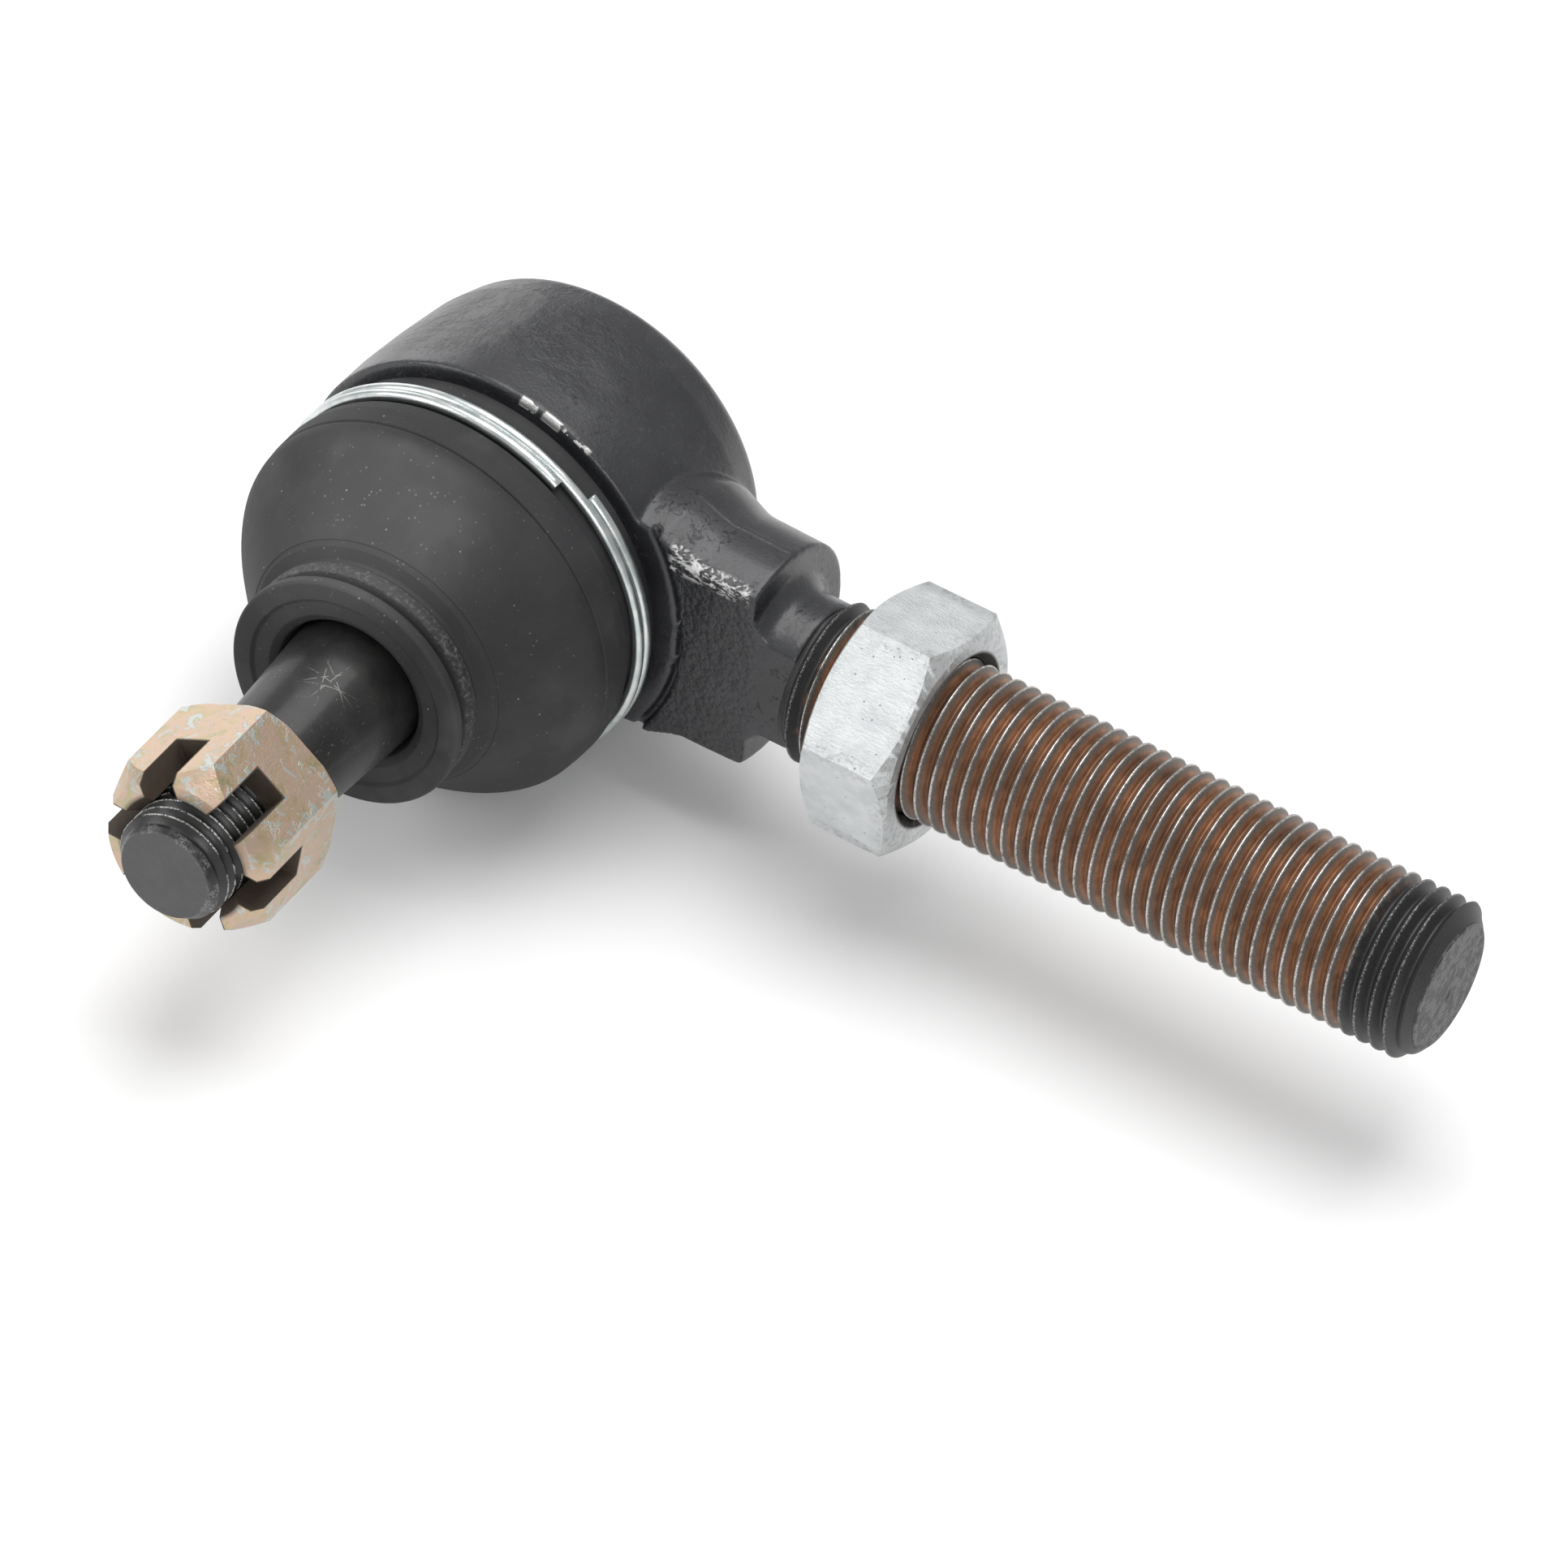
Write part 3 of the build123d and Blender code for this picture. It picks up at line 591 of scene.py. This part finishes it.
def seat_polymer():
    f = Finish("seat_polymer", Specular_IOR_Level=0.4)
    fine = f.noise(3.0, 3)
    colour = f.mixed(f.noise(0.2, 3), (0.60, 0.57, 0.50), (0.70, 0.67, 0.60))
    f.raised(fine, 0.05, 0.5)
    return f.wear(Base_Color=colour, Roughness=0.45 + fine * 0.1)


def spring_steel():
    f = Finish("spring_steel", Metallic=0.9)
    fine = f.noise(2.0, 4)
    colour = f.mixed(fine, (0.10, 0.10, 0.12), (0.22, 0.21, 0.22))
    f.raised(fine, 0.05, 0.6)
    return f.wear(Base_Color=colour, Roughness=0.32 + fine * 0.15)


FORGING = black_forging()
THREAD = shank_steel()
SILVER = silver_zinc()
GOLD = yellow_zinc()
RUBBER = boot_rubber()
STEEL = stud_steel()
WIRE = wire_zinc()


# --- forged head, boss and neck ---
HEAD_R = 25.75
SHANK_R = 10.0
NECK_R = 9.2
BOSS_R = 14.2
BOSS_END = 37.3


def make_forged_head():
    head = turned("forged_head", [
        (18.4, -19.2), (18.4, -20.47, 0.3), (20.2, -20.47, 2.2), (23.4, -17.6, 3.0), (24.6, -13.0, 4.0),
        (25.35, -6.0, 6.0), (HEAD_R, 0, 4.0), (HEAD_R, 5.5, 0.35), (23.2, 5.5), (23.2, 8.6), (22.0, 8.9),
        (22.0, 12.0), (23.2, 12.3), (23.2, 15.5, 0.8), (16.4, 15.5, 0.4), (14.3, 11.0), (14.3, 10.4),
        (15.6, 10.4), (19.2, 3.5), (19.2, -17.4), (20.3, -17.4), (20.3, -19.2),
    ], steps=180)
    stand_up_mm(head, HEAD)
    boss = turned("boss", [
        (0, 20.0), (16.3, 20.0), (16.2, 24.0), (BOSS_R + 0.2, 28.5, 7.0), (BOSS_R, BOSS_END, 0.25),
        (NECK_R + 1.6, BOSS_END, 0.4), (NECK_R, BOSS_END + 1.8, 2.4), (NECK_R, 43.1, 0.3), (8.9, 43.4), (0, 43.4),
    ], steps=128)
    stand_up_mm(boss, SHANK)
    # flat on the stud side of the boss, running out into the neck's fillet
    put_down()
    bpy.ops.mesh.primitive_cube_add(size=1, location=(22.0, -6.0 - 15, 0), scale=(30.0, 30.0, 60.0))
    cutter = bpy.context.object
    bpy.ops.object.transform_apply(location=True, rotation=True, scale=True)
    bpy.ops.object.mode_set(mode="EDIT")
    pick(cutter, "FACE", lambda c, n: n.x > 0.9)
    bpy.ops.transform.translate(value=(-1.2, 0, 0))
    pick(cutter, "EDGE", lambda c, n: c.x > 34 and c.y < -20)
    bpy.ops.transform.translate(value=(22.0, 0, 0))
    bpy.ops.object.mode_set(mode="OBJECT")
    carved(boss, cutter)
    spot_face = turned("spot_face", [
        (19.0, 5.5), (26.9, 5.5), (26.95, 4.5), (27.75, 4.5), (27.8, 9.0), (19.0, 9.0),
    ], steps=180)
    stand_up_mm(spot_face, HEAD)
    carved(boss, spot_face)
    carved(head, boss, "UNION")
    modified(head, "REMESH", mode="VOXEL", voxel_size=0.37, adaptivity=0.0)
    modified(head, "SMOOTH", factor=0.5, iterations=2)
    modified(head, "DECIMATE", ratio=190000 / (2 * len(head.data.polygons)))
    return finished(head, Matrix.Identity(4), FORGING, 180)


def stand_up_mm(piece, place):
    take_up(piece)
    piece.matrix_world = place
    bpy.ops.object.transform_apply(location=True, rotation=True, scale=True)


def pick(piece, kind, wanted):
    """Selects the faces or edges of the piece in edit mode whose middle and direction are wanted."""
    bpy.ops.mesh.select_mode(type=kind)
    bpy.ops.mesh.select_all(action="DESELECT")
    bpy.ops.object.mode_set(mode="OBJECT")
    mesh = piece.data
    if kind == "FACE":
        for face in mesh.polygons:
            face.select = bool(wanted(face.center, face.normal))
    else:
        for edge in mesh.edges:
            a, b = (mesh.vertices[k].co for k in edge.vertices)
            edge.select = bool(wanted((a + b) / 2, (b - a).normalized()))
    bpy.ops.object.mode_set(mode="EDIT")


def make_shank_thread():
    thread = threaded("shank_thread", SHANK_R, 1.958, [(8.75, 43.2), (SHANK_R, 44.4), (SHANK_R, 126.5), (7.66, 128.19)])
    return finished(thread, SHANK, THREAD, 28)


# --- nuts ---
def hexagon(name, across, low, high, corner):
    """A six-sided bar, its first corner turned round to the angle given."""
    put_down()
    bpy.ops.mesh.primitive_cylinder_add(
        vertices=6, radius=across / math.sqrt(3), depth=high - low, location=(0, 0, (low + high) / 2),
        rotation=(0, 0, 0),
    )
    piece = bpy.context.object
    piece.name = name
    bpy.ops.object.transform_apply(location=True, rotation=True, scale=True)
    first = piece.data.vertices[0].co
    piece.rotation_euler = (0, 0, math.radians(corner) - math.atan2(first.y, first.x))
    bpy.ops.object.transform_apply(location=True, rotation=True, scale=True)
    return piece


def make_jam_nut():
    low, high = 49.0, 60.9
    nut = hexagon("jam_nut_hex", 27.0, low, high, 44.67)
    barrel = turned("barrel", [
        (0, low), (12.9, low), (15.9, low + 1.5), (15.9, high - 1.5), (12.9, high), (0, high),
    ], steps=180, closed=True)
    carved(nut, barrel, "INTERSECT")
    bore = turned("bore", [
        (0, low - 1), (11.6, low - 1), (10.12, low + 0.8), (10.12, high - 0.9), (12.0, high + 1), (0, high + 1),
    ], steps=128, closed=True)
    carved(nut, bore)
    eased(nut, 0.55, 12, 4)
    bpy.ops.object.shade_smooth()
    modified(nut, "WEIGHTED_NORMAL", weight=90)
    return finished(nut, SHANK, SILVER, 0)


def make_castle_nut():
    low, high = 56.3, 72.0
    nut = hexagon("castle_nut_hex", 21.0, low, high, 24.72)
    barrel = turned("barrel", [
        (0, low), (10.9, low), (12.5, low + 1.2), (12.5, high - 4.3), (12.2, high - 3.7, 1.0), (9.9, high), (0, high),
    ], steps=160, closed=True)
    carved(nut, barrel, "INTERSECT")
    bore = turned("bore", [
        (0, low - 1), (9.0, low - 1), (7.12, low + 0.9), (7.12, high - 1.2), (9.2, high + 1), (0, high + 1),
    ], steps=96, closed=True)
    carved(nut, bore)
    for k in range(3):
        put_down()
        bpy.ops.mesh.primitive_cube_add(
            size=1, location=(0, 0, 63.9 + 5), rotation=(0, 0, math.radians(24.72 + 30 + 60 * k)), scale=(30, 4.5, 10),
        )
        slot = bpy.context.object
        bpy.ops.object.transform_apply(location=True, rotation=True, scale=True)
        eased(slot, 0.25, 60, 2)
        carved(nut, slot)
    eased(nut, 0.22, 16, 3)
    return finished(nut, STUD, GOLD, 0)


# --- ball stud ---
def make_ball_stud():
    ball = []
    for k in range(25):
        a = math.radians(-64.2 + k * (64.2 + 60.0) / 24)
        ball.append((16.0 * math.cos(a), 16.0 * math.sin(a)))
    body = turned("ball_stud_body", [(0, ball[0][1])] + ball + [
        (8.0, 26.3, 1.5), (8.95, 29.0, 1.0), (8.95, 32.2, 1.0), (7.4625, 56.0, 0.2), (6.2, 56.0), (6.2, 56.6), (0, 56.6),
    ], steps=128, closed=True)
    return finished(body, STUD, STEEL, 35)


def make_stud_thread():
    thread = threaded("stud_thread", 6.98, 1.5, [(6.1, 56.05), (6.98, 57.2), (6.98, 74.0), (5.76, 75.7)], 72)
    across = math.radians(24.72 + 90)
    put_down()
    bpy.ops.mesh.primitive_cylinder_add(
        vertices=40, radius=2.0, depth=20, location=(0, 0, 67.6), rotation=(0, math.pi / 2, across),
    )
    drill = bpy.context.object
    bpy.ops.object.transform_apply(location=True, rotation=True, scale=True)
    carved(thread, drill)
    return finished(thread, STUD, STEEL, 28)


# --- dust boot ---
CREASE_R = 25.0
CREASE_H = 17.5


def make_boot_skirt():
    skirt = turned("boot_skirt_rubber", [
        (23.2, 6.0), (24.1, 6.0, 0.3), (24.15, 7.6), (24.03, 7.85), (24.03, 12.2), (24.9, 12.7, 0.5),
        (25.2, 14.5, 2.0), (CREASE_R + 0.12, 17.2, 0.25), (CREASE_R - 0.25, CREASE_H), (23.4, CREASE_H),
        (23.2, 15.5), (23.2, 12.3), (22.0, 12.0), (22.0, 8.9), (23.2, 8.6),
    ], steps=200)
    return finished(skirt, HEAD, RUBBER, 40)


# shape of the dome: share of the height, share of the way in
DOME_R = 16.6
DOME_LOW = CREASE_H + 0.05
DOME_HIGH = 30.3


def dome_at(up):
    """Radius of the dome at a share of its height, round over the shoulder and straight towards the collar."""
    stops = ((0.0, -0.005), (0.07, 0.0), (0.148, 0.030), (0.30, 0.165), (0.492, 0.393), (0.672, 0.619), (0.852, 0.833), (1.0, 1.0))
    for k in range(len(stops) - 1):
        if up <= stops[k + 1][0]:
            break
    p = [stops[max(k - 1, 0)], stops[k], stops[k + 1], stops[min(k + 2, len(stops) - 1)]]
    t = (up - p[1][0]) / (p[2][0] - p[1][0])
    slope_a = (p[2][1] - p[0][1]) / (p[2][0] - p[0][0]) * (p[2][0] - p[1][0])
    slope_b = (p[3][1] - p[1][1]) / (p[3][0] - p[1][0]) * (p[2][0] - p[1][0])
    h00 = 2 * t**3 - 3 * t**2 + 1
    h10 = t**3 - 2 * t**2 + t
    h01 = -2 * t**3 + 3 * t**2
    h11 = t**3 - t**2
    inward = h00 * p[1][1] + h10 * slope_a + h01 * p[2][1] + h11 * slope_b
    return CREASE_R + (DOME_R - CREASE_R) * inward


def make_dome(name, low, high):
    """One band of the dome as a closed wall, leaning over gradually to meet the collar."""
    count = 26
    outer = []
    for k in range(count + 1):
        up = low + (high - low) * k / count
        outer.append((dome_at(up), DOME_LOW + (DOME_HIGH - DOME_LOW) * up))
    inner = [(r - 1.7, h) for r, h in reversed(outer)]
    band = turned(name, outer + inner, steps=200)
    for v in band.data.vertices:
        up = min(max((v.co.z - DOME_LOW) / (DOME_HIGH - DOME_LOW), 0), 1)
        lean = Vector((0, 0, 1)).lerp(HEAD.to_3x3().inverted() @ stud_dir, up).normalized()
        side = (Vector((1, 0, 0)) - lean * lean.x).normalized()
        v.co = side * v.co.x + lean.cross(side) * v.co.y + lean * v.co.z
    return finished(band, HEAD, RUBBER, 40)


def make_boot_collar():
    collar = turned("boot_collar_rubber", [
        (9.05, 30.35), (16.55, 30.25), (16.0, 30.9, 0.4), (14.7, 31.6, 0.5), (14.45, 32.0, 0.3), (14.85, 32.5, 0.3),
        (14.95, 33.3, 0.5), (14.75, 34.3, 0.3), (13.7, 34.75, 0.3), (13.6, 35.4, 0.3), (14.9, 35.7, 0.3),
        (15.15, 36.1, 0.3), (15.15, 37.0, 0.25), (14.85, 37.3, 0.3), (12.75, 37.3, 0.25), (12.3, 36.95, 0.3),
        (10.4, 36.9, 0.5), (9.4, 36.3, 0.6), (9.05, 35.2),
    ], steps=200)
    return finished(collar, STUD, RUBBER, 40)


def make_retaining_wire():
    """A round section wound just under two turns, its two ends lapping side by side."""
    pitch, turns = 1.42, 1.977
    put_down()
    bpy.ops.mesh.primitive_circle_add(vertices=20, radius=0.69, fill_type="NGON", rotation=(math.pi / 2, 0, 0), location=(24.78, 0, 0))
    wire = bpy.context.object
    wire.name = "retaining_wire_zinc"
    bpy.ops.object.transform_apply(location=True, rotation=True, scale=True)
    modified(
        wire, "SCREW", axis="Z", angle=-2 * math.pi * turns, screw_offset=pitch * turns, iterations=1, steps=400,
        render_steps=400, use_merge_vertices=False,
    )
    take_up(wire)
    wire.matrix_world = Matrix.Translation((0, 0, 8.62)) @ Matrix.Rotation(math.radians(50.5), 4, "Z")
    bpy.ops.object.transform_apply(location=True, rotation=True, scale=True)
    bpy.ops.object.mode_set(mode="EDIT")
    tidy_shell()
    close_open_ends(wire)
    eased(wire, 0.08, 60, 2)
    return finished(wire, HEAD, WIRE, 40)


def close_open_ends(piece):
    take_up(piece)
    bpy.ops.object.mode_set(mode="EDIT")
    bpy.ops.mesh.select_all(action="DESELECT")
    bpy.ops.mesh.select_mode(type="EDGE")
    bpy.ops.mesh.select_non_manifold(extend=False, use_wire=False, use_boundary=True, use_multi_face=False, use_non_contiguous=False, use_verts=False)
    bpy.ops.mesh.edge_face_add()
    tidy_shell()


def fitted(piece, body, *stands_for):
    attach(piece, body)
    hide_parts(*stands_for)


fitted(make_forged_head(), "housing", "housing")
fitted(make_shank_thread(), "housing", "housing")
fitted(make_jam_nut(), "jam_nut", "jam_nut")
fitted(make_castle_nut(), "castle_nut", "castle_nut")
fitted(make_ball_stud(), "stud", "ball_stud")
fitted(make_stud_thread(), "stud", "ball_stud")
fitted(make_boot_skirt(), "housing", "boot_skirt")
fitted(make_boot_collar(), "boot_collar", "boot_collar")
fitted(make_retaining_wire(), "housing", "retaining_wire")

dome_low = make_dome("boot_dome_lower", 0.0, 0.5)
dome_high = make_dome("boot_dome_upper", 0.5, 1.0)
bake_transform(dome_low)
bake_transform(dome_high)
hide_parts("boot_dome")
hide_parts("boot_dome")

for name, material in (
    ("closing_plate", plate_zinc()), ("front_bearing_seat", seat_polymer()), ("rear_bearing_seat", seat_polymer()),
    ("disc_spring", spring_steel()),
):
    nodes[name].data.materials.clear()
    nodes[name].data.materials.append(material)


# --- floor, light and camera ---
def studio():
    put_down()
    bpy.ops.mesh.primitive_plane_add(size=4.0, location=(0.05, 0, -0.0262))
    floor = bpy.context.object
    floor.name = "floor"
    m = bpy.data.materials.new("pale_floor")
    m.use_nodes = True
    shader = m.node_tree.nodes["Principled BSDF"]
    shader.inputs["Base Color"].default_value = (0.92, 0.92, 0.92, 1)
    shader.inputs["Roughness"].default_value = 0.9
    floor.data.materials.append(m)
    world = bpy.data.worlds.new("studio")
    world.use_nodes = True
    world.node_tree.nodes["Background"].inputs["Color"].default_value = (1.0, 1.0, 1.0, 1)
    world.node_tree.nodes["Background"].inputs["Strength"].default_value = 0.42
    bpy.context.scene.world = world
    softbox("top_light", (0.02, 0.10, 0.60), (0.05, 0, 0), 0.55, 3.6)
    softbox("back_light", (-0.55, 0.42, 0.12), (-0.005, 0, 0.01), 0.40, 0.8)
    softbox("left_light", (-0.45, -0.35, 0.30), (0.0, 0, 0), 0.35, 1.3)
    softbox("front_light", (0.35, -0.60, 0.35), (0.05, 0, 0), 0.30, 1.5)


def softbox(name, place, target, size, power):
    data = bpy.data.lights.new(name, "AREA")
    data.shape = "SQUARE"
    data.size = size
    data.energy = power
    lamp = bpy.data.objects.new(name, data)
    bpy.context.scene.collection.objects.link(lamp)
    lamp.location = place
    lamp.rotation_euler = (Vector(target) - Vector(place)).to_track_quat("-Z", "Y").to_euler()


def camera():
    data = bpy.data.cameras.new("camera")
    data.sensor_width = 36.0
    data.lens = 231.177
    data.clip_start = 0.05
    data.clip_end = 20.0
    eye = bpy.data.objects.new("camera", data)
    bpy.context.scene.collection.objects.link(eye)
    right = Vector((0.837256, 0.542059, 0.071939))
    down = Vector((0.4161, -0.54622, -0.726983))
    ahead = Vector((-0.354773, 0.638605, -0.682876))
    turn = Matrix((right, -down, -ahead)).transposed().to_4x4()
    eye.matrix_world = Matrix.Translation((0.459064, -0.754288, 0.787692)) @ turn
    bpy.context.scene.camera = eye


studio()
camera()
bpy.context.scene.view_settings.view_transform = "Standard"
